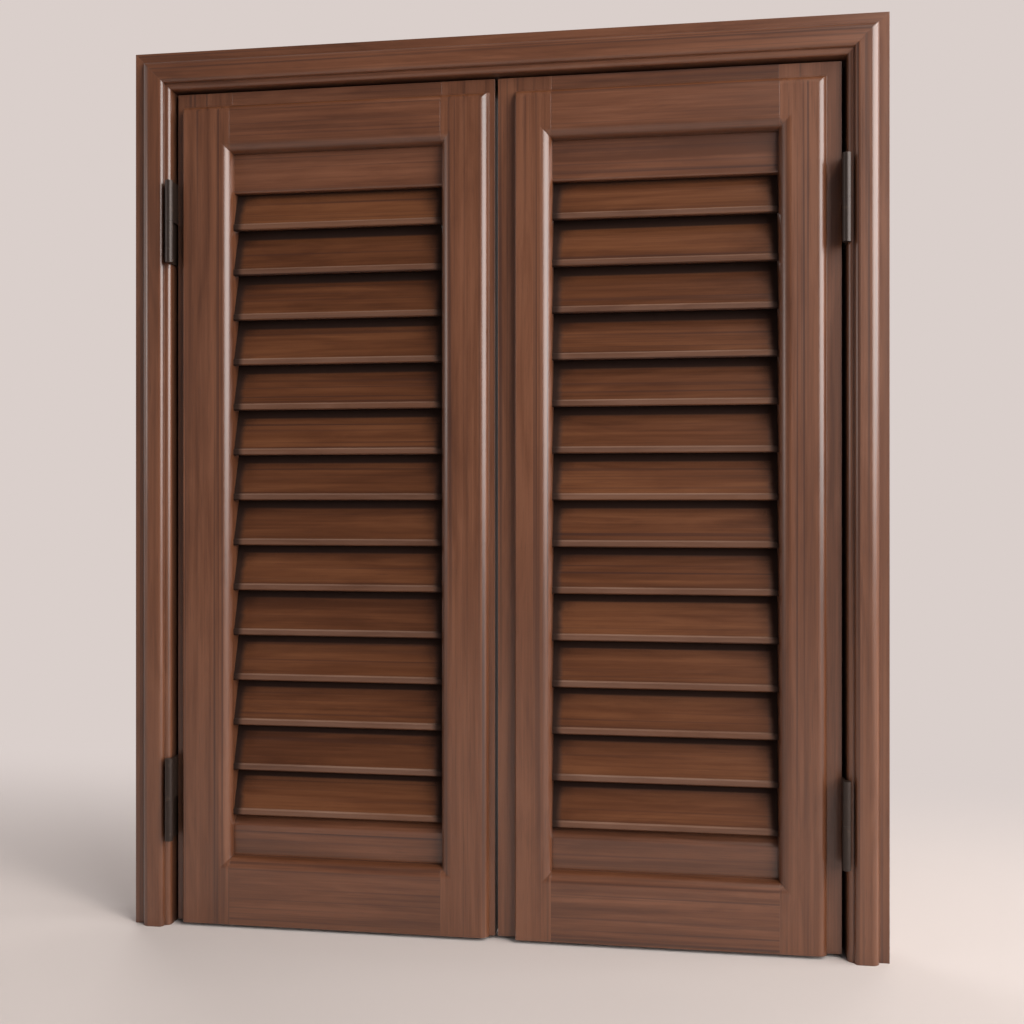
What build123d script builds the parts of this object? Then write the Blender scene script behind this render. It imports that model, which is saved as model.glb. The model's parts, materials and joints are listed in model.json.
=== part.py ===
"""A pair of louvred window shutters in their own frame, in millimetres.

The frame is a head and two jambs with a flange that laps the wall. Two leaves hang in it
on lift-off hinges. Each leaf is a mortised frame with fixed slats let into its stiles.
+X is to the right, +Y goes into the wall and +Z is up. The origin is at the middle of
the frame's foot, and at the middle of the whole depth.
"""
import os
from math import cos, radians, sin, tan

from build123d import *

# Frame: overall size and section
FRAME_WIDTH = 1090.0
FRAME_HEIGHT = 1300.0
FRAME_FACE = 56.0  # width of the head and jambs seen from the front
FLANGE_THICKNESS = 10.0
FLANGE_LAP = 22.0  # how far the flange covers the wall
FLANGE_LIP = 14.0  # flat margin of the flange outside the raised face
FRAME_RAISE = 12.0  # the raised face stands this far in front of the flange
FRAME_BEAD_RADIUS = 11.0
FRAME_INNER_STEP = 8.5  # width of the step in the inner moulding
FRAME_INNER_DROP = 8.0  # depth of that step
FRAME_INNER_RADIUS = 7.0
FRAME_DEPTH = 54.0  # how far the frame goes into the wall opening
STOP_WIDTH = 14.0  # the rebate that the leaves close against
STOP_THICKNESS = 15.0

# Fixing holes through the jambs, into the sides of the wall opening
FIXING_RADIUS = 4.0
FIXING_DEPTH = 20.0  # behind the plane of the wall
FIXING_FROM_END = 160.0

# Leaves
LEAF_RECESS = 10.0  # leaf face behind the frame's face
LEAF_THICKNESS = 50.0
LEAF_STEP = 13.0  # the face stands this far in front of the edge lip
LEAF_BEAD_RADIUS = 12.5  # along the top and the right-hand edge of a leaf
LEAF_ARRIS = 2.0  # chamfer along its left-hand edge
STICKING_RADIUS = 16.0  # rounded inner edge round the louvres
HINGE_GAP = 6.0
HEAD_GAP = 4.0
SILL_GAP = 5.0
MEETING_GAP = 4.5  # lets the back corner of a leaf swing past its neighbour
HINGE_LIPS = {"left": 12.0, "right": 20.0}
TOP_LIP = 20.0
MEETING_LIPS = {"left": 8.0, "right": 26.0}
HINGE_STILE_WIDTH = 85.0
MEETING_STILE_WIDTH = 78.0
TOP_RAIL_HEIGHT = 91.0
BOTTOM_RAIL_HEIGHT = 98.0
TENON_LENGTH = 42.0
TENON_THICKNESS = 16.0
TENON_SHOULDER = 18.0
JOINT_CLEARANCE = 0.2

# Slats and the fixed boards above and below them
SLAT_COUNT = 14
SLAT_WIDTH = 66.0  # sloping outer face, from the nose up to the back edge
SLAT_THICKNESS = 9.0
SLAT_ANGLE = 72.0  # degrees from level, rising towards the room
SLAT_NOSE = 8.0  # upright front edge
SLAT_LEDGE = 3.5  # sloping top of the nose
SLAT_LEDGE_ANGLE = 35.0  # degrees from level
SLAT_NOSE_CHAMFER = 1.5
SLAT_BACK_CHAMFER = 2.5
SLAT_SETBACK = 17.0  # nose of a slat behind the leaf's face
HOUSING_DEPTH = 8.0
TOP_REVEAL = 55.5  # from the top board down to the highest nose's underside
BOTTOM_REVEAL = 15.0  # from the bottom board up to the lowest nose's underside
BOARD_SETBACK = 20.0  # front of the fixed boards behind the leaf's face
TOP_BOARD_HEIGHT = 58.0
TOP_BOARD_THICKNESS = 12.0
BOTTOM_BOARD_HEIGHT = 45.0
BOTTOM_BOARD_THICKNESS = 28.0
BOTTOM_BOARD_FALL = 50.0  # degrees, its top sheds water outwards
BOARD_EDGE_RADIUS = 4.0

# Lift-off hinges
HINGE_HEIGHT = 121.0
HINGE_LIFT_GAP = 0.3
KNUCKLE_RADIUS = 6.0
HINGE_PIN_RADIUS = 3.0
HINGE_PIN_CLEARANCE = 0.05
HINGE_PIN_COVER = 6.0  # closed end of each knuckle beyond the pin
HINGE_PLATE_DEPTH = 46.0
HINGE_PLATE_THICKNESS = 2.5
HINGE_AXIS_PROUD = 2.0  # pin axis in front of the frame's face
UPPER_HINGE_DROP = 199.0  # middle of the upper hinges below the head
LOWER_HINGE_HEIGHT = 190.0  # middle of the lower hinges above the frame's foot

# Shoot bolts on the back of the meeting stiles
BOLT_RADIUS = 5.0
BOLT_LENGTH = 190.0
BOLT_TRAVEL = 24.0
BOLT_BELOW_STOP = 4.0  # drawn bolt below the head's stop
BOLT_CLEARANCE = 0.1
KEEP_CLEARANCE = 1.0
BOLT_FROM_EDGE = 36.0
BOLT_STAND_OFF = 8.0  # bolt axis behind the leaf's back
BOLT_PLATE_WIDTH = 26.0
GUIDE_WIDTH = 20.0
GUIDE_HEIGHT = 16.0
GUIDE_DEPTH = 16.0
GUIDE_CHAMFER = 4.0
GUIDE_SPACING = 120.0
GUIDE_TOP_MARGIN = 26.0
BOLT_PLATE_THICKNESS = 2.0
KNOB_RADIUS = 4.0
KNOB_LENGTH = 20.0
KNOB_REST_GAP = 0.3  # the drawn bolt's knob above the lower guide

OVERRUN = 5.0  # cutters pass the surface they cut by this much

# Places that several pieces share
FRONT_REACH = FLANGE_THICKNESS + FRAME_RAISE + HINGE_AXIS_PROUD + KNUCKLE_RADIUS
BACK_REACH = (
    LEAF_RECESS + LEAF_THICKNESS + BOLT_STAND_OFF + KNOB_LENGTH - FLANGE_THICKNESS - FRAME_RAISE
)
WALL_PLANE = (FRONT_REACH - BACK_REACH) / 2
FLANGE_FRONT = WALL_PLANE - FLANGE_THICKNESS
FRAME_FRONT = FLANGE_FRONT - FRAME_RAISE
FRAME_BACK = WALL_PLANE + FRAME_DEPTH
OPENING_HALF = FRAME_WIDTH / 2 - FRAME_FACE
HEAD_UNDERSIDE = FRAME_HEIGHT - FRAME_FACE
STOP_FRONT = FRAME_BACK - STOP_THICKNESS
LEAF_FRONT = FRAME_FRONT + LEAF_RECESS
LEAF_LIP_FRONT = LEAF_FRONT + LEAF_STEP
LEAF_BACK = LEAF_FRONT + LEAF_THICKNESS
LEAF_TOP = HEAD_UNDERSIDE - HEAD_GAP
LOUVRE_BOTTOM = SILL_GAP + BOTTOM_RAIL_HEIGHT
LOUVRE_TOP = LEAF_TOP - TOP_RAIL_HEIGHT
BOARD_FRONT = LEAF_FRONT + BOARD_SETBACK
SLAT_FRONT = LEAF_FRONT + SLAT_SETBACK
TOP_NOSE = LOUVRE_TOP - TOP_BOARD_HEIGHT - TOP_REVEAL
BOTTOM_NOSE = LOUVRE_BOTTOM + BOTTOM_BOARD_HEIGHT + BOTTOM_REVEAL
SLAT_PITCH = (TOP_NOSE - BOTTOM_NOSE) / (SLAT_COUNT - 1)
HINGE_AXIS_DEPTH = FRAME_FRONT - HINGE_AXIS_PROUD
HINGE_AXIS_OFFSET = OPENING_HALF - HINGE_GAP / 2
HINGE_MIDDLES = (HEAD_UNDERSIDE - UPPER_HINGE_DROP, LOWER_HINGE_HEIGHT)
BOLT_DEPTH = LEAF_BACK + BOLT_STAND_OFF
BOLT_TOP = HEAD_UNDERSIDE - STOP_WIDTH - BOLT_BELOW_STOP
SIDES = {"left": -1, "right": 1}


def block(x, y, z):
    """A box between two values on each axis."""
    size = [abs(b - a) for a, b in (x, y, z)]
    centre = [(a + b) / 2 for a, b in (x, y, z)]
    return Pos(*centre) * Box(*size)


def upright(radius, x, y, z):
    """A vertical round bar between two heights."""
    return Pos(x, y, (z[0] + z[1]) / 2) * Cylinder(radius, abs(z[1] - z[0]))


def front_edges(shape):
    """The edges of the foremost face: those of its outline, and those of its opening."""
    face = shape.faces().sort_by(Axis.Y)[0]
    return face.outer_wire().edges(), [e for w in face.inner_wires() for e in w.edges()]


def above(edges, height):
    """Those edges that lie higher, from left to right."""
    return ShapeList(e for e in edges if e.center().Z > height).sort_by(Axis.X)


def bolt_place(side):
    """The distance of a leaf's bolt from the middle of the frame."""
    return SIDES[side] * (MEETING_GAP / 2 + BOLT_FROM_EDGE)


def frame_section_ring():
    """Head and jambs in one, before the mitres are cut."""
    half = FRAME_WIDTH / 2
    foot = (-FRAME_FACE, FRAME_HEIGHT)
    flange = block((-half, half), (FLANGE_FRONT, WALL_PLANE), foot)
    raised_half = half - FLANGE_LIP
    raised_x = (-raised_half, raised_half)
    raised_z = (-FRAME_FACE, FRAME_HEIGHT - FLANGE_LIP)
    step_front = FRAME_FRONT + FRAME_INNER_DROP
    step_half = OPENING_HALF + FRAME_INNER_STEP
    body_half = half - FLANGE_LAP
    body = block(
        (-body_half, body_half),
        (WALL_PLANE, FRAME_BACK),
        (-FRAME_FACE, FRAME_HEIGHT - FLANGE_LAP),
    )
    ring = flange + block(raised_x, (step_front, FLANGE_FRONT), raised_z) + body
    ring -= block(
        (-OPENING_HALF, OPENING_HALF),
        (FRAME_FRONT - OVERRUN, STOP_FRONT),
        (0, HEAD_UNDERSIDE),
    )
    stop_half = OPENING_HALF - STOP_WIDTH
    ring -= block(
        (-stop_half, stop_half),
        (FRAME_FRONT - OVERRUN, FRAME_BACK + OVERRUN),
        (0, HEAD_UNDERSIDE - STOP_WIDTH),
    )
    outline, opening = front_edges(ring)
    ring = fillet(above(opening, 0), FRAME_INNER_RADIUS)

    ring += block(raised_x, (FRAME_FRONT, step_front), raised_z) - block(
        (-step_half, step_half),
        (FRAME_FRONT - OVERRUN, step_front),
        (0, HEAD_UNDERSIDE + FRAME_INNER_STEP),
    )
    outline, opening = front_edges(ring)
    ring = fillet(above(outline, 0), FRAME_BEAD_RADIUS)
    outline, opening = front_edges(ring)
    ring = fillet(above(opening, 0), FRAME_INNER_RADIUS)
    return ring - block(
        (-FRAME_WIDTH, FRAME_WIDTH),
        (FRAME_FRONT - OVERRUN, FRAME_BACK + OVERRUN),
        (-FRAME_HEIGHT, 0),
    )


def frame_parts():
    """The mitred head and jambs, with the bolts' keeps and the fixing holes."""
    ring = frame_section_ring()
    half = FRAME_WIDTH / 2
    corners = [
        (-half, FRAME_HEIGHT),
        (half, FRAME_HEIGHT),
        (OPENING_HALF - STOP_WIDTH, HEAD_UNDERSIDE - STOP_WIDTH),
        (STOP_WIDTH - OPENING_HALF, HEAD_UNDERSIDE - STOP_WIDTH),
    ]
    outline = make_face(Polyline([(x, 0, z) for x, z in corners], close=True).edges())
    cutter = extrude(outline, FRAME_BACK + OVERRUN, dir=(0, 1, 0))
    cutter += extrude(outline, OVERRUN - FRAME_FRONT, dir=(0, -1, 0))
    head = ring & cutter
    for side in SIDES:
        head -= upright(
            BOLT_RADIUS + KEEP_CLEARANCE,
            bolt_place(side),
            BOLT_DEPTH,
            (HEAD_UNDERSIDE - STOP_WIDTH - OVERRUN, BOLT_TOP + BOLT_TRAVEL + KEEP_CLEARANCE),
        )
    parts = {"frame_head": head}
    legs = ring - cutter
    for side, sign in SIDES.items():
        jamb = legs & block(
            (0, sign * FRAME_WIDTH),
            (FRAME_FRONT - OVERRUN, FRAME_BACK + OVERRUN),
            (0, FRAME_HEIGHT),
        )
        for height in (FIXING_FROM_END, FRAME_HEIGHT - FIXING_FROM_END):
            drill = Rot(0, 90, 0) * Cylinder(FIXING_RADIUS, FRAME_WIDTH / 2)
            jamb -= Pos(sign * OPENING_HALF, WALL_PLANE + FIXING_DEPTH, height) * drill
        parts[f"frame_jamb_{side}"] = jamb
    return parts


def slat_profile():
    """Section of a slat: a nose with a level underside and a ledge, and the sloping board."""
    angle = radians(SLAT_ANGLE)
    fall = radians(SLAT_LEDGE_ANGLE)
    ledge = (SLAT_LEDGE * cos(fall), SLAT_NOSE + SLAT_LEDGE * sin(fall))
    top = (ledge[0] + SLAT_WIDTH * cos(angle), ledge[1] + SLAT_WIDTH * sin(angle))
    back = (top[0] + SLAT_THICKNESS * sin(angle), top[1] - SLAT_THICKNESS * cos(angle))
    heel = (back[0] - back[1] / tan(angle), 0)
    corners = [(0, 0), (0, SLAT_NOSE), ledge, top, back, heel]
    return make_face(Polyline(corners, close=True).edges())


def eased(section):
    """The section with the lower edge of its nose and both edges of its back chamfered."""
    drip = section.vertices().sort_by_distance((0, 0))[0]
    section = chamfer(drip, SLAT_NOSE_CHAMFER)
    back = section.vertices().sort_by(Axis.X)[-2:]
    return chamfer(back, SLAT_BACK_CHAMFER)


def slat_noses():
    """The heights of the noses' undersides, from the top slat down."""
    return [TOP_NOSE - SLAT_PITCH * i for i in range(SLAT_COUNT)]


def board_profile(thickness, height, fall=0.0):
    """Section of a fixed board, whose top may fall outwards."""
    back = height + thickness * tan(radians(fall))
    corners = [(0, 0), (thickness, 0), (thickness, back), (0, height)]
    return make_face(Polyline(corners, close=True).edges())


def across(section, x, depth, height):
    """A section of (depth, height) points, drawn out from one value of x to another."""
    start = Plane((min(x), depth, height), x_dir=(0, 1, 0), z_dir=(1, 0, 0))
    return extrude(start * section, abs(x[1] - x[0]))


def tenon(x, z, grow=0.0):
    """The tongue on a rail's end. With grow it is the mortise in the stile."""
    middle = (LEAF_LIP_FRONT + LEAF_BACK) / 2
    reach = TENON_THICKNESS / 2 + grow
    return block(x, (middle - reach, middle + reach), (z[0] - grow, z[1] + grow))


def leaf_parts(side):
    """Stiles, rails, fixed boards and slats of one leaf."""
    sign = SIDES[side]
    hinge_edge = sign * (OPENING_HALF - HINGE_GAP)
    meeting_edge = sign * MEETING_GAP / 2
    hinge_sight = hinge_edge - sign * HINGE_STILE_WIDTH
    meeting_sight = meeting_edge + sign * MEETING_STILE_WIDTH
    clear = sign * JOINT_CLEARANCE

    ring = block((hinge_edge, meeting_edge), (LEAF_LIP_FRONT, LEAF_BACK), (SILL_GAP, LEAF_TOP))
    ring += block(
        (hinge_edge - sign * HINGE_LIPS[side], meeting_edge + sign * MEETING_LIPS[side]),
        (LEAF_FRONT, LEAF_LIP_FRONT),
        (SILL_GAP, LEAF_TOP - TOP_LIP),
    )
    through = (LEAF_FRONT - OVERRUN, LEAF_BACK + OVERRUN)
    ring -= block((hinge_sight, meeting_sight), through, (LOUVRE_BOTTOM, LOUVRE_TOP))
    outline, opening = front_edges(ring)
    ring = fillet(above(outline, LOUVRE_BOTTOM)[1:], LEAF_BEAD_RADIUS)
    outline, opening = front_edges(ring)
    ring = chamfer(above(outline, LOUVRE_BOTTOM)[0], LEAF_ARRIS)
    outline, opening = front_edges(ring)
    ring = fillet(opening, STICKING_RADIUS)

    rails = {
        "top_rail": (LOUVRE_TOP, LEAF_TOP),
        "bottom_rail": (SILL_GAP, LOUVRE_BOTTOM),
    }
    stiles = {
        "hinge_stile": (hinge_edge, hinge_sight),
        "meeting_stile": (meeting_sight, meeting_edge),
    }
    full_height = (SILL_GAP - OVERRUN, LEAF_TOP + OVERRUN)
    parts = {name: ring & block(x, through, full_height) for name, x in stiles.items()}
    tongue = (hinge_sight + sign * TENON_LENGTH, meeting_sight - sign * TENON_LENGTH)
    for name, (low, high) in rails.items():
        rail = ring & block((hinge_sight, meeting_sight), through, (low, high))
        z = (low + TENON_SHOULDER, high - TENON_SHOULDER)
        if name == "top_rail":
            z = (low + TENON_SHOULDER, high - TOP_LIP - TENON_SHOULDER)
        parts[name] = rail + tenon(tongue, z)
        mortise = tenon((tongue[0] + clear, tongue[1] - clear), z, JOINT_CLEARANCE)
        for stile in stiles:
            parts[stile] -= mortise

    top_section = board_profile(TOP_BOARD_THICKNESS, TOP_BOARD_HEIGHT)
    bottom_section = board_profile(BOTTOM_BOARD_THICKNESS, BOTTOM_BOARD_HEIGHT, BOTTOM_BOARD_FALL)
    boards = {
        "top_board": (top_section, 0, LOUVRE_TOP - TOP_BOARD_HEIGHT),
        "bottom_board": (bottom_section, BOTTOM_BOARD_HEIGHT, LOUVRE_BOTTOM),
    }
    for name, (section, free_edge, low) in boards.items():
        corner = section.vertices().sort_by_distance((0, free_edge))[0]
        section = fillet(corner, BOARD_EDGE_RADIUS)
        parts[name] = across(section, (hinge_sight, meeting_sight), BOARD_FRONT, low)

    profile = slat_profile()
    section = eased(profile)
    housing_section = offset(profile, JOINT_CLEARANCE, kind=Kind.INTERSECTION)
    housed = sign * HOUSING_DEPTH
    housing_ends = (hinge_sight + housed, meeting_sight - housed)
    slat_ends = (housing_ends[0] - clear, housing_ends[1] + clear)
    for number, height in enumerate(slat_noses(), 1):
        parts[f"slat_{number:02d}"] = across(section, slat_ends, SLAT_FRONT, height)
        housing = across(housing_section, housing_ends, SLAT_FRONT, height)
        for stile in stiles:
            parts[stile] -= housing
    return {f"{side}_{name}": shape for name, shape in parts.items()}


def knuckle(x, z, bore, mouth_up):
    """A hinge barrel, closed at one end, with a bore for the pin from the other."""
    low, high = z
    barrel = upright(KNUCKLE_RADIUS, x, HINGE_AXIS_DEPTH, z)
    if mouth_up:
        room = (low + HINGE_PIN_COVER, high + OVERRUN)
    else:
        room = (low - OVERRUN, high - HINGE_PIN_COVER)
    return barrel - upright(bore, x, HINGE_AXIS_DEPTH, room)


def hinge_parts(side, middle):
    """Frame half with its pin below, leaf half above."""
    sign = SIDES[side]
    axis = sign * HINGE_AXIS_OFFSET
    lower = (middle - HINGE_HEIGHT / 2, middle)
    upper = (middle + HINGE_LIFT_GAP, middle + HINGE_HEIGHT / 2)
    running = HINGE_PIN_RADIUS + HINGE_PIN_CLEARANCE
    wall_middle = (running + KNUCKLE_RADIUS) / 2
    plate_y = (HINGE_AXIS_DEPTH + wall_middle, HINGE_AXIS_DEPTH + HINGE_PLATE_DEPTH)

    jamb_face = sign * OPENING_HALF
    leaf_edge = sign * (OPENING_HALF - HINGE_GAP)
    frame_plate = block((jamb_face, jamb_face - sign * HINGE_PLATE_THICKNESS), plate_y, lower)
    leaf_plate = block((leaf_edge, leaf_edge + sign * HINGE_PLATE_THICKNESS), plate_y, upper)
    frame_half = knuckle(axis, lower, running, mouth_up=True) + frame_plate
    leaf_half = knuckle(axis, upper, running, mouth_up=False) + leaf_plate
    pin_ends = (lower[0] + HINGE_PIN_COVER, upper[1] - HINGE_PIN_COVER)
    pin = upright(
        HINGE_PIN_RADIUS,
        axis,
        HINGE_AXIS_DEPTH,
        (pin_ends[0], pin_ends[1] - HINGE_LIFT_GAP),
    )
    return frame_half, leaf_half, pin


def bolt_parts(side):
    """A round bolt with its knob, and the plate with two guides that carries it."""
    x = bolt_place(side)
    bolt = upright(BOLT_RADIUS, x, BOLT_DEPTH, (BOLT_TOP - BOLT_LENGTH, BOLT_TOP))
    top_guide = BOLT_TOP - GUIDE_TOP_MARGIN
    lower_guide = top_guide - GUIDE_SPACING
    knob_height = lower_guide + GUIDE_HEIGHT / 2 + KNOB_RADIUS + KNOB_REST_GAP
    knob = Rot(90, 0, 0) * Cylinder(KNOB_RADIUS, KNOB_LENGTH)
    bolt += Pos(x, BOLT_DEPTH + KNOB_LENGTH / 2, knob_height) * knob

    half = BOLT_PLATE_WIDTH / 2
    back = LEAF_BACK + BOLT_PLATE_THICKNESS
    low = lower_guide - GUIDE_HEIGHT
    guides = block((x - half, x + half), (LEAF_BACK, back), (low, top_guide + GUIDE_HEIGHT))
    for height in (top_guide, lower_guide):
        guide = block(
            (x - GUIDE_WIDTH / 2, x + GUIDE_WIDTH / 2),
            (LEAF_BACK, LEAF_BACK + GUIDE_DEPTH),
            (height - GUIDE_HEIGHT / 2, height + GUIDE_HEIGHT / 2),
        )
        corners = guide.edges().filter_by(Axis.Z).sort_by(Axis.Y)[-2:]
        guides += chamfer(corners, GUIDE_CHAMFER)
    guides -= upright(BOLT_RADIUS + BOLT_CLEARANCE, x, BOLT_DEPTH, (low - OVERRUN, BOLT_TOP))
    return bolt, guides


def build():
    """Every node by name. Hinge halves of one kind, and the pins, are groups of like solids."""
    parts = frame_parts()
    pins = []
    for side in SIDES:
        parts.update(leaf_parts(side))
        hinges = [hinge_parts(side, middle) for middle in HINGE_MIDDLES]
        frame_halves, leaf_halves, side_pins = zip(*hinges)
        parts[f"{side}_hinge_frame_halves"] = Compound(frame_halves)
        parts[f"{side}_hinge_leaf_halves"] = Compound(leaf_halves)
        pins += side_pins
        parts[f"{side}_bolt"], parts[f"{side}_bolt_guides"] = bolt_parts(side)
    parts["hinge_pins"] = Compound(pins)
    return parts


os.makedirs("parts", exist_ok=True)
for node, shape in build().items():
    export_step(shape, f"parts/{node}.step")
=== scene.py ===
"""Looks of a pair of louvred shutters in their frame: stained wood, bronze hinges, studio light."""
import json
import math

import bmesh
import bpy
from mathutils import Matrix, Vector


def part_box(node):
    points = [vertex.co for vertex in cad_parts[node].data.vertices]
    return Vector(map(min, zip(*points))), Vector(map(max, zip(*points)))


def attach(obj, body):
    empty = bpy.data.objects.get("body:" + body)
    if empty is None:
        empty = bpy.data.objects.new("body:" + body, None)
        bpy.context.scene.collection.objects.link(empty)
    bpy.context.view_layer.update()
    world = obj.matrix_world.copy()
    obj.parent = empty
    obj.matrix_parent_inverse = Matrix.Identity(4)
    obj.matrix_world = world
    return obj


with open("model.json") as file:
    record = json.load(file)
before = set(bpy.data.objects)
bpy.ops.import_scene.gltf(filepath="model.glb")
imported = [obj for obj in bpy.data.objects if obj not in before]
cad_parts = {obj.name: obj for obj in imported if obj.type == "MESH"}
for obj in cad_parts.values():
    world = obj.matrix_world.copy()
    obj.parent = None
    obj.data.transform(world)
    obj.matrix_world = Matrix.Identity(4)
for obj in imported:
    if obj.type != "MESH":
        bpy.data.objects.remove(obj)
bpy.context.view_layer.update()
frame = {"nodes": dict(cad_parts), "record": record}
NODES = frame["nodes"]
SIDES = {"left": -1, "right": 1}
UPRIGHT, LEVEL = "Z", "X"

# Camera, worked out from the frame's corners in the photograph
IMAGE_SIZE = 1024
FOCAL_PIXELS = 1150
HORIZON_ROW = 499
SENSOR_WIDTH = 36.0
CAMERA_SIDE = 0.255
CAMERA_HEIGHT = 0.6345
CAMERA_DISTANCE = 1.615  # in front of the frame's face
CAMERA_YAW = math.radians(8.075)
CAMERA_REACH = 50.0

# Colours, linear
STAIN = {
    "dark": (0.078, 0.0254, 0.0099),
    "middle": (0.116, 0.0397, 0.0166),
    "light": (0.157, 0.0585, 0.0270),
}
SLAT_STAIN = {
    "dark": (0.062, 0.0195, 0.0068),
    "middle": (0.092, 0.0308, 0.0112),
    "light": (0.129, 0.0462, 0.0176),
}
PORE = (0.046, 0.0165, 0.0095)
# near-black for the painted shade in hollows, gaps and the slats' deep parts
SHADE_AND_GRIME = (0.011, 0.0037, 0.0018)
# paler colours for the slat's ledge and nose: partly wear, partly painted highlight
LEDGE_WEAR_AND_HIGHLIGHT = (0.27, 0.167, 0.123)
NOSE_WEAR_AND_HIGHLIGHT = (0.156, 0.086, 0.060)
BRONZE = (0.020, 0.012, 0.009)
BRONZE_LIGHT = (0.036, 0.022, 0.016)
BRONZE_WORN = (0.090, 0.055, 0.038)
STEEL = (0.42, 0.41, 0.39)
STEEL_DULL = (0.33, 0.32, 0.31)
BACKDROP = (0.701, 0.624, 0.597)
FLOOR = (0.64, 0.571, 0.544)
# painted shade of the floor under the right panel
FLOOR_PAINTED_DARK_BY_PANEL = (0.22, 0.197, 0.188)

# Wood grain layers: stretch along the grain, scale, detail, roughness, distortion
GRAIN_LAYERS = {
    "broad": (7.0, 8.0, 2.0, 0.5, 0.4),
    "figure": (10.0, 38.0, 4.0, 0.6, 1.2),
    "streak": (60.0, 120.0, 3.0, 0.6, 0.0),
    "fibre": (60.0, 420.0, 3.0, 0.6, 0.0),
    "line": (260.0, 230.0, 1.0, 0.4, 0.0),
    "pore": (30.0, 760.0, 1.0, 0.5, 0.0),
}
TONE_SHARES = {"broad": 0.28, "figure": 0.32, "streak": 0.27, "fibre": 0.13}
TONE_STOPS = (0.41, 0.50, 0.60)
BOARD_TONE_SHARE = 0.06
BOARD_SHIFTS = (37.0, 91.0, 53.0)
MARK_LAYERS = {"line": (0.58, 4.5), "pore": (0.62, 2.4)}  # where the marks start, and how fast they darken
RELIEF_SHARES = {"streak": 0.5, "fibre": 0.35}
MARK_DEPTH = 0.5
RELIEF_STRENGTH = 0.14
RELIEF_DISTANCE = 0.0005
SOFT_EDGE = 0.0009
EDGE_SAMPLES = 4

# Varnish of the wood, the painted shade in its hollows and gaps, and the dirt there that dulls the varnish
ROUGHNESS_SHARES = {"figure": 0.10, "fibre": 0.10}
LEAST_ROUGHNESS = 0.24
DIRT_ROUGHNESS = 0.6
COAT_ROUGHNESS = 0.27
SHADE_REACH = 0.035
SHADE_SAMPLES = 4
# The stops and amount of each kind set the painted shade in hollows and gaps
JOINERY = {"stain": STAIN, "shade_stops": (0.05, 0.45), "shade_amount": 0.75, "coat": 0.52, "ior": 1.5}
LOUVRES = {"stain": SLAT_STAIN, "shade_stops": (0.50, 0.76), "shade_amount": 0.97, "coat": 0.16, "ior": 1.33}

# Slats: which way their faces look, as parts of the normal, and how far the painted shade on their deep parts
# reaches
LEDGE_RISE = (0.62, 0.80)
NOSE_RISE = (0.10, 0.24)
UNDERSIDE_RISE = (-0.3, -0.1)
FRONT_NORMALS = (-0.5, -0.3)
SHADE_TOP_SHARES = (0.745, 0.785)  # of the slat's height
SHADE_END_SHARES = (0.428, 0.462)  # of the slat's length, from its middle
SHADE_EDGE_WAVER = 0.03
DEPTH_SHADE_AMOUNT = 0.9

# Metal: noise scale, detail and roughness
MOTTLE_NOISE = (240.0, 4.0, 0.6)
FINE_NOISE = (1500.0, 2.0, 0.5)
RUB_NOISE = (60.0, 4.0, 0.7)
RUB_RANGE = (0.58, 0.72, 0.0, 0.55)
BRONZE_ROUGHNESS = 0.30
MOTTLE_ROUGHNESS = 0.22
BRONZE_RELIEF = 0.12
BRONZE_RELIEF_DISTANCE = 0.0002
BRONZE_METAL = 0.35
RING_STRETCH = (0.02, 0.02, 1.0)
RING_NOISE = (4000.0, 2.0)
STEEL_ROUGHNESS = 0.22
RING_ROUGHNESS = 0.2

# Small fittings
HINGE_HALF_HEIGHT = 0.0605
HINGE_PLATE_THICKNESS = 0.0025
HINGE_SCREW_HEIGHTS = (0.011, 0.030, 0.049)
HINGE_SCREW_DEPTHS = (-0.004, -0.010, -0.004)
HINGE_SLOT_START = 35  # degrees
HINGE_SLOT_STEP = 50
HINGE_SLOT_DRIFT = 20
BOLT_PLATE_THICKNESS = 0.002
BOLT_SCREW_INSET = 0.004
BOLT_SLOT_START = 20
BOLT_SLOT_STEP = 65
SCREW_RADIUS = 0.0030
SCREW_DOME = 0.00035
SCREW_TOP_SHARE = 0.82
SLOT_HALF_WIDTH = 0.0004
SLOT_DEPTH = 0.0007
HEAD_STEPS = 12

# Stage: a floor that curves up into a backdrop, between two side walls
STAGE_HALF = 14.0
STAGE_FRONT = -28.0
STAGE_BACK = 3.0
STAGE_CURVE = 1.4
STAGE_TOP = 9.0
CURVE_STEPS = 16
BACK_FADE = (0.10, 1.10)
SIDE_FADE = (5.0, 11.0)
FRONT_FADE = (-27.0, -10.0)
PANEL_FOOT = (3.3, -2.0)
PANEL_GLARE = (0.9, 3.4)
UNEVEN_NOISE = (3.0, 3.0)
UNEVEN_TONE = 0.97
PAINT_ROUGHNESS = 0.9

# Light: a warm key from the upper right, broad panels at the right, weak boxes at the left and behind
WARM = (1.0, 0.93, 0.85)
NEUTRAL = (1.0, 0.985, 0.97)
COOL = (0.86, 0.93, 1.0)
WORLD_STRENGTH = 0.15
LAMPS = {  # place, aim, size, watts, colour
    "key_box": ((1.77, -1.49, 3.41), (0.0, 0.0, 0.65), (0.7, 0.7), 42.0, WARM),
    "right_panel": ((3.15, -2.46, 2.1), (0.0, 0.0, 2.1), (3.56, 3.0), 226.0, NEUTRAL),
    "left_box": ((-2.6, -1.5, 1.2), (0.0, 0.0, 0.6), (0.9, 0.9), 11.0, NEUTRAL),
    "side_panel": ((4.25, -0.1, 2.3), (0.0, -0.1, 2.3), (1.9, 2.6), 95.0, NEUTRAL),
    "back_left_box": ((-1.6, 2.0, 2.0), (0.0, 0.0, 0.7), (1.4, 1.4), 24.0, NEUTRAL),
    "back_right_box": ((1.4, 2.2, 1.6), (0.0, 0.0, 0.6), (1.2, 1.2), 11.0, NEUTRAL),
}


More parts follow.
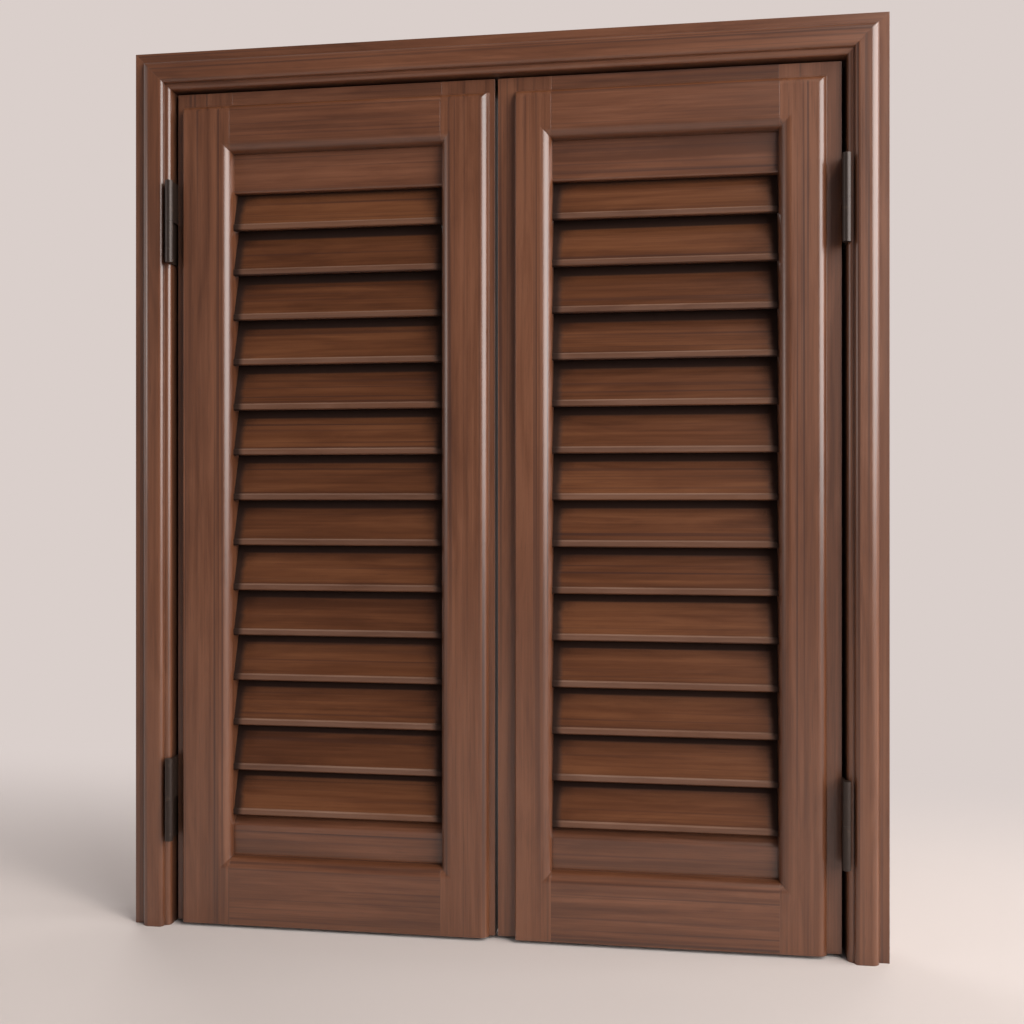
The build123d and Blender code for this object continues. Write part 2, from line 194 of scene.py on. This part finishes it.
class Nodes:
    """Builds a material's node tree with short calls."""

    def __init__(self, name):
        self.material = bpy.data.materials.new(name)
        self.material.use_nodes = True
        self.tree = self.material.node_tree
        self.tree.nodes.clear()

    def add(self, kind, settings=None, **inputs):
        node = self.tree.nodes.new("ShaderNode" + kind)
        for key, value in (settings or {}).items():
            setattr(node, key, value)
        for key, value in inputs.items():
            self.put(node, key.replace("_", " "), value)
        return node

    def put(self, node, socket, value):
        target = node.inputs[int(socket)] if socket.isdigit() else node.inputs[socket]
        if isinstance(value, bpy.types.NodeSocket):
            self.tree.links.new(value, target)
        elif isinstance(value, bpy.types.Node):
            self.tree.links.new(value.outputs[0], target)
        else:
            target.default_value = value

    def math(self, operation, first, second=0.0, clamp=False):
        node = self.add("Math", {"operation": operation, "use_clamp": clamp})
        self.put(node, "0", first)
        self.put(node, "1", second)
        return node.outputs[0]

    def total(self, layers, shares, start=0.0):
        """A start value plus each layer times its share."""
        for layer, share in shares.items():
            start = self.math("ADD", start, self.math("MULTIPLY", layers[layer], share))
        return start

    def vector(self, operation, first, second):
        node = self.add("VectorMath", {"operation": operation})
        self.put(node, "0", first)
        self.put(node, "1", second)
        return node.outputs[0]

    def split(self, vector):
        """The three parts of a vector."""
        return self.add("SeparateXYZ", Vector=vector).outputs

    def noise(self, coordinates, scale, detail=2.0, roughness=0.5, distortion=0.0):
        return self.add("TexNoise", Vector=coordinates, Scale=scale, Detail=detail,
                        Roughness=roughness, Distortion=distortion).outputs["Fac"]

    def spread(self, value, low, high, start=0.0, end=1.0):
        """A value between two limits, mapped smoothly to a new range."""
        node = self.add("MapRange", {"interpolation_type": "SMOOTHSTEP"}, Value=value)
        for socket, number in (("1", low), ("2", high), ("3", start), ("4", end)):
            self.put(node, socket, number)
        return node.outputs[0]

    def ramp(self, value, stops):
        node = self.add("ValToRGB", Fac=value)
        while len(node.color_ramp.elements) < len(stops):
            node.color_ramp.elements.new(1.0)
        for element, (place, colour) in zip(node.color_ramp.elements, stops):
            element.position = place
            element.color = (*colour, 1.0)
        return node.outputs["Color"]

    def mix(self, amount, first, second):
        node = self.add("Mix", {"data_type": "RGBA"})
        self.put(node, "0", amount)
        for socket, value in (("6", first), ("7", second)):
            self.put(node, socket, (*value, 1.0) if isinstance(value, tuple) else value)
        return node.outputs[2]

    def finish(self, surface):
        self.add("OutputMaterial", Surface=surface)
        return self.material


def grain_values(n, grain):
    """The grain layers of one board, and the board's own random number."""
    place = n.add("TexCoord").outputs["Object"]
    board = n.add("ObjectInfo").outputs["Random"]
    shifts = [n.math("MULTIPLY", board, reach) for reach in BOARD_SHIFTS]
    place = n.vector("ADD", place, n.add("CombineXYZ", X=shifts[0], Y=shifts[1], Z=shifts[2]).outputs[0])
    layers = {}
    for name, (stretch, scale, detail, roughness, distortion) in GRAIN_LAYERS.items():
        factors = tuple(1.0 / stretch if axis == grain else 1.0 for axis in "XYZ")
        layers[name] = n.noise(n.vector("MULTIPLY", place, factors), scale, detail, roughness, distortion)
    return layers, board


def grain_marks(n, layers):
    """Dark lines and pores in the grain."""
    marks = []
    for layer, (start, gain) in MARK_LAYERS.items():
        over = n.math("SUBTRACT", layers[layer], start, clamp=True)
        marks.append(n.math("MULTIPLY", over, gain, clamp=True))
    return n.math("MAXIMUM", *marks)


def own_normal(n):
    """The face's normal in the piece's own frame, which turns with the piece."""
    settings = {"vector_type": "NORMAL", "convert_from": "WORLD", "convert_to": "OBJECT"}
    return n.add("VectorTransform", settings, Vector=n.add("NewGeometry").outputs["True Normal"]).outputs[0]


def slat_wear_and_highlight(n, layers, colour):
    """A slat's colour, with its nose and ledge painted pale: partly wear, partly painted highlight where they
    catch the light.
    """
    rise = n.split(own_normal(n))["Z"]
    nose = n.math("MULTIPLY", n.spread(rise, *NOSE_RISE, 1.0, 0.0), n.spread(rise, *UNDERSIDE_RISE))
    colour = n.mix(n.math("MULTIPLY", nose, layers["figure"]), colour, NOSE_WEAR_AND_HIGHLIGHT)
    ledge = n.math("MULTIPLY", n.spread(rise, *LEDGE_RISE), layers["figure"])
    return n.mix(ledge, colour, LEDGE_WEAR_AND_HIGHLIGHT)


def slat_painted_shade(n, layers):
    """Painted shade on the deep parts of a slat's face: under the slat above it, and beside the stiles."""
    place = n.split(n.add("TexCoord").outputs["Generated"])
    waver = n.math("MULTIPLY", n.math("SUBTRACT", layers["figure"], 0.5), SHADE_EDGE_WAVER)
    high = n.spread(n.math("ADD", place["Z"], waver), *SHADE_TOP_SHARES)
    from_middle = n.math("ABSOLUTE", n.math("SUBTRACT", place["X"], 0.5))
    ends = n.spread(n.math("ADD", from_middle, waver), *SHADE_END_SHARES)
    front = n.spread(n.split(own_normal(n))["Y"], *FRONT_NORMALS, 1.0, 0.0)
    return n.math("MULTIPLY", n.math("MAXIMUM", high, ends), front)


def wood(name, grain, kind):
    """Stained and satin-varnished wood, with its grain along one axis and a new board for each piece."""
    n = Nodes(name)
    layers, board = grain_values(n, grain)
    board_tone = n.math("MULTIPLY", n.math("SUBTRACT", board, 0.5), BOARD_TONE_SHARE)
    tone = n.total(layers, TONE_SHARES, board_tone)
    marks = grain_marks(n, layers)
    colour = n.ramp(tone, list(zip(TONE_STOPS, kind["stain"].values())))
    colour = n.mix(marks, colour, PORE)
    # Painted shade: the colour darkens in hollows, gaps and under parts, found by ambient occlusion; the same
    # mask dulls the varnish
    open_sky = n.add("AmbientOcclusion", {"samples": SHADE_SAMPLES}, Distance=SHADE_REACH).outputs["AO"]
    shade_and_dirt = n.spread(open_sky, *kind["shade_stops"], kind["shade_amount"], 0.0)
    if kind is LOUVRES:
        # Nose and ledge painted pale: partly wear, partly painted highlight
        colour = slat_wear_and_highlight(n, layers, colour)
        # Painted shade on the slat's deep parts, under the slat above and beside the stiles
        shade_and_dirt = n.math("MAXIMUM", shade_and_dirt, n.math("MULTIPLY", slat_painted_shade(n, layers), DEPTH_SHADE_AMOUNT))
    colour = n.mix(shade_and_dirt, colour, SHADE_AND_GRIME)

    relief = n.math("SUBTRACT", n.total(layers, RELIEF_SHARES), n.math("MULTIPLY", marks, MARK_DEPTH))
    soft_edges = n.add("Bevel", {"samples": EDGE_SAMPLES}, Radius=SOFT_EDGE).outputs[0]
    bump = n.add("Bump", Strength=RELIEF_STRENGTH, Distance=RELIEF_DISTANCE, Height=relief, Normal=soft_edges)
    clean = n.total(layers, ROUGHNESS_SHARES, LEAST_ROUGHNESS)
    roughness = n.math("ADD", clean, n.math("MULTIPLY", shade_and_dirt, DIRT_ROUGHNESS), clamp=True)
    varnish = n.math("MULTIPLY", n.math("SUBTRACT", 1.0, shade_and_dirt), kind["coat"])
    shader = n.add("BsdfPrincipled", Base_Color=colour, Roughness=roughness, Normal=bump.outputs[0],
                   Coat_Weight=varnish, Coat_Roughness=COAT_ROUGHNESS, IOR=kind["ior"])
    return n.finish(shader.outputs[0])


def bronze(name):
    """Dark lacquered metal, rubbed a little in patches."""
    n = Nodes(name)
    place = n.add("TexCoord").outputs["Object"]
    mottle = n.noise(place, *MOTTLE_NOISE)
    fine = n.noise(place, *FINE_NOISE)
    rubbed = n.spread(n.noise(place, *RUB_NOISE), *RUB_RANGE)
    colour = n.mix(mottle, BRONZE, BRONZE_LIGHT)
    colour = n.mix(rubbed, colour, BRONZE_WORN)
    roughness = n.math("ADD", n.math("MULTIPLY", mottle, MOTTLE_ROUGHNESS), BRONZE_ROUGHNESS)
    bump = n.add("Bump", Strength=BRONZE_RELIEF, Distance=BRONZE_RELIEF_DISTANCE, Height=fine)
    shader = n.add("BsdfPrincipled", Base_Color=colour, Roughness=roughness, Normal=bump.outputs[0],
                   Metallic=BRONZE_METAL)
    return n.finish(shader.outputs[0])


def steel(name):
    """Turned bright steel."""
    n = Nodes(name)
    place = n.add("TexCoord").outputs["Object"]
    rings = n.noise(n.vector("MULTIPLY", place, RING_STRETCH), *RING_NOISE)
    colour = n.mix(rings, STEEL_DULL, STEEL)
    roughness = n.math("ADD", n.math("MULTIPLY", rings, RING_ROUGHNESS), STEEL_ROUGHNESS)
    shader = n.add("BsdfPrincipled", Base_Color=colour, Roughness=roughness, Metallic=1.0)
    return n.finish(shader.outputs[0])


HINGE_METAL = bronze("hinge_metal")
BY_SLOT = {
    "upright_wood": wood("upright_wood", UPRIGHT, JOINERY),
    "level_wood": wood("level_wood", LEVEL, JOINERY),
    "slat_wood": wood("slat_wood", LEVEL, LOUVRES),
    "hinge_metal": HINGE_METAL,
    "bolt_metal": HINGE_METAL,
    "pin_steel": steel("pin_steel"),
}


def dress_nodes():
    """Every solid takes the material of its slot."""
    for part in frame["record"]["subparts"]:
        shown = NODES[part["node"]]
        shown.data.materials.clear()
        shown.data.materials.append(BY_SLOT[part["material_slot"]])


def half_head(work, place, sign):
    """One half of a slotted screw head: a domed half disc beside the slot."""
    start = math.asin(SLOT_HALF_WIDTH / SCREW_RADIUS)
    rim, crown, foot = [], [], []
    for step in range(HEAD_STEPS + 1):
        turn = start + (math.pi - 2 * start) * step / HEAD_STEPS
        x, y = SCREW_RADIUS * math.cos(turn), sign * SCREW_RADIUS * math.sin(turn)
        top_y = sign * max(abs(y) * SCREW_TOP_SHARE, SLOT_HALF_WIDTH)
        rim.append(work.verts.new(place @ Vector((x, y, 0.0))))
        crown.append(work.verts.new(place @ Vector((x * SCREW_TOP_SHARE, top_y, SCREW_DOME))))
        foot.append(work.verts.new(place @ Vector((x, y, -SLOT_DEPTH))))
    for step in range(HEAD_STEPS):
        work.faces.new((rim[step], rim[step + 1], crown[step + 1], crown[step]))
        work.faces.new((foot[step], foot[step + 1], rim[step + 1], rim[step]))
    work.faces.new(crown)
    work.faces.new(foot)
    work.faces.new((foot[0], rim[0], crown[0], crown[-1], rim[-1], foot[-1]))


def screw_head(work, place):
    """A slotted head, level with the plate that it holds."""
    half_head(work, place, 1)
    half_head(work, place, -1)


def add_screws(name, places, body):
    """One piece with a screw head at each place, riding on a body."""
    work = bmesh.new()
    for place in places:
        screw_head(work, place)
    bmesh.ops.recalc_face_normals(work, faces=work.faces)
    mesh = bpy.data.meshes.new(name)
    work.to_mesh(mesh)
    work.free()
    mesh.materials.append(HINGE_METAL)
    piece = bpy.data.objects.new(name, mesh)
    bpy.context.scene.collection.objects.link(piece)
    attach(piece, body)


def head_place(point, direction, turn):
    """A place for a screw head that looks along a direction, with its slot turned by some degrees."""
    aim = Vector(direction).to_track_quat("Z", "Y").to_matrix().to_4x4()
    return Matrix.Translation(point) @ aim @ Matrix.Rotation(math.radians(turn), 4, "Z")


def hinge_screws(side):
    """Three screws in each hinge plate, seen when the leaf stands open."""
    sign = SIDES[side]
    low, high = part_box(f"{side}_hinge_stile")
    leaf_edge = low.x if sign < 0 else high.x
    frame_low, frame_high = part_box(f"{side}_hinge_frame_halves")
    leaf_low, leaf_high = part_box(f"{side}_hinge_leaf_halves")
    barrel = (frame_low.x + frame_high.x) / 2
    leaf_face = leaf_edge + sign * HINGE_PLATE_THICKNESS
    frame_face = 2 * barrel - leaf_face
    groups = {
        "frame": (frame_face, -sign, (frame_low.z, frame_high.z - HINGE_HALF_HEIGHT), "frame"),
        "leaf": (leaf_face, sign, (leaf_low.z, leaf_high.z - HINGE_HALF_HEIGHT), f"{side}_leaf"),
    }
    for name, (x, way, feet, body) in groups.items():
        places = []
        for foot in feet:
            for number, (height, depth) in enumerate(zip(HINGE_SCREW_HEIGHTS, HINGE_SCREW_DEPTHS)):
                turn = HINGE_SLOT_START + HINGE_SLOT_STEP * number + HINGE_SLOT_DRIFT * len(places)
                places.append(head_place((x, depth, foot + height), (way, 0, 0), turn))
        add_screws(f"{side}_{name}_hinge_screws", places, body)


def bolt_screws(side):
    """A screw in each corner of the bolt's plate."""
    low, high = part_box(f"{side}_bolt_guides")
    back = low.y + BOLT_PLATE_THICKNESS
    places = []
    for x in (low.x + BOLT_SCREW_INSET, high.x - BOLT_SCREW_INSET):
        for z in (low.z + BOLT_SCREW_INSET, high.z - BOLT_SCREW_INSET):
            turn = BOLT_SLOT_START + BOLT_SLOT_STEP * len(places)
            places.append(head_place((x, back, z), (0, 1, 0), turn))
    add_screws(f"{side}_bolt_screws", places, f"{side}_leaf")


def panel_glare(n, place):
    """From 0 under the right panel to 1 away from it."""
    across = n.math("SUBTRACT", place["X"], PANEL_FOOT[0])
    along = n.math("SUBTRACT", place["Y"], PANEL_FOOT[1])
    squares = n.math("ADD", n.math("MULTIPLY", across, across), n.math("MULTIPLY", along, along))
    return n.spread(n.math("SQRT", squares), *PANEL_GLARE)


def backdrop_paint(name):
    """Matt pale paint, with painted shade under the right panel that offsets its light. Away from the object,
    it has one even tone to the eye.
    """
    n = Nodes(name)
    point = n.add("TexCoord").outputs["Object"]
    place = n.split(point)
    colour = n.mix(n.noise(point, *UNEVEN_NOISE), tuple(UNEVEN_TONE * part for part in FLOOR), FLOOR)
    # Painted shade: the floor is painted darker under the right panel, offsetting its light
    colour = n.mix(panel_glare(n, place), FLOOR_PAINTED_DARK_BY_PANEL, colour)
    paint = n.add("BsdfPrincipled", Base_Color=colour, Roughness=PAINT_ROUGHNESS)
    path = n.add("LightPath").outputs
    seen = n.math("MAXIMUM", path["Is Camera Ray"], path["Is Glossy Ray"])
    seen = n.math("MAXIMUM", seen, path["Is Transmission Ray"])
    behind = n.spread(place["Y"], *BACK_FADE)
    beside = n.spread(n.math("ABSOLUTE", place["X"]), *SIDE_FADE)
    beside = n.math("MULTIPLY", beside, n.spread(place["Y"], *FRONT_FADE))
    far = n.math("MAXIMUM", behind, beside)
    even = n.add("Emission", Color=(*BACKDROP, 1.0), Strength=1.0)
    mixed = n.add("MixShader", Fac=n.math("MULTIPLY", seen, far))
    n.put(mixed, "1", paint)
    n.put(mixed, "2", even)
    return n.finish(mixed.outputs[0])


def make_stage():
    """The floor and backdrop as one bent sheet, with a wall at each side."""
    line = [(STAGE_FRONT, 0.0)]
    for step in range(CURVE_STEPS + 1):
        turn = math.pi / 2 * step / CURVE_STEPS
        line.append((STAGE_BACK - STAGE_CURVE + STAGE_CURVE * math.sin(turn),
                     STAGE_CURVE - STAGE_CURVE * math.cos(turn)))
    line.append((STAGE_BACK, STAGE_TOP))
    vertices = [(x, y, z) for y, z in line for x in (-STAGE_HALF, STAGE_HALF)]
    faces = [(2 * i, 2 * i + 1, 2 * i + 3, 2 * i + 2) for i in range(len(line) - 1)]
    corners = ((STAGE_FRONT, 0.0), (STAGE_BACK, 0.0), (STAGE_BACK, STAGE_TOP), (STAGE_FRONT, STAGE_TOP))
    for sign in SIDES.values():
        first = len(vertices)
        vertices += [(sign * STAGE_HALF, y, z) for y, z in corners]
        faces.append(tuple(range(first, first + len(corners))))
    mesh = bpy.data.meshes.new("backdrop")
    mesh.from_pydata(vertices, [], faces)
    for face in mesh.polygons:
        face.use_smooth = True
    mesh.materials.append(backdrop_paint("backdrop_paint"))
    stage = bpy.data.objects.new("backdrop", mesh)
    bpy.context.scene.collection.objects.link(stage)


def area_light(name, place, aim, size, watts, colour):
    """A rectangular lamp at a place, turned to what it lights."""
    data = bpy.data.lights.new(name, "AREA")
    data.shape = "RECTANGLE"
    data.size, data.size_y = size
    data.energy = watts
    data.color = colour
    lamp = bpy.data.objects.new(name, data)
    lamp.location = place
    direction = Vector(aim) - Vector(place)
    lamp.rotation_euler = direction.to_track_quat("-Z", "Y").to_euler()
    bpy.context.scene.collection.objects.link(lamp)


def light_world():
    """A weak cool light from all round."""
    world = bpy.data.worlds.new("world")
    bpy.context.scene.world = world
    world.use_nodes = True
    background = world.node_tree.nodes["Background"].inputs
    background["Color"].default_value = (*COOL, 1.0)
    background["Strength"].default_value = WORLD_STRENGTH


def place_camera():
    """The photograph's view: level, with the horizon a little above the middle."""
    data = bpy.data.cameras.new("camera")
    data.sensor_width = SENSOR_WIDTH
    data.lens = SENSOR_WIDTH * FOCAL_PIXELS / IMAGE_SIZE
    data.shift_y = (HORIZON_ROW - IMAGE_SIZE / 2) / IMAGE_SIZE
    data.clip_end = CAMERA_REACH
    camera = bpy.data.objects.new("camera", data)
    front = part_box("frame_head")[0].y
    camera.location = (CAMERA_SIDE, front - CAMERA_DISTANCE, CAMERA_HEIGHT)
    camera.rotation_euler = (math.pi / 2, 0.0, CAMERA_YAW)
    bpy.context.scene.collection.objects.link(camera)
    bpy.context.scene.camera = camera


dress_nodes()
for leaf_side in SIDES:
    hinge_screws(leaf_side)
    bolt_screws(leaf_side)
make_stage()
for lamp_name, lamp_values in LAMPS.items():
    area_light(lamp_name, *lamp_values)
light_world()
place_camera()

bpy.context.scene.view_settings.view_transform = "Standard"
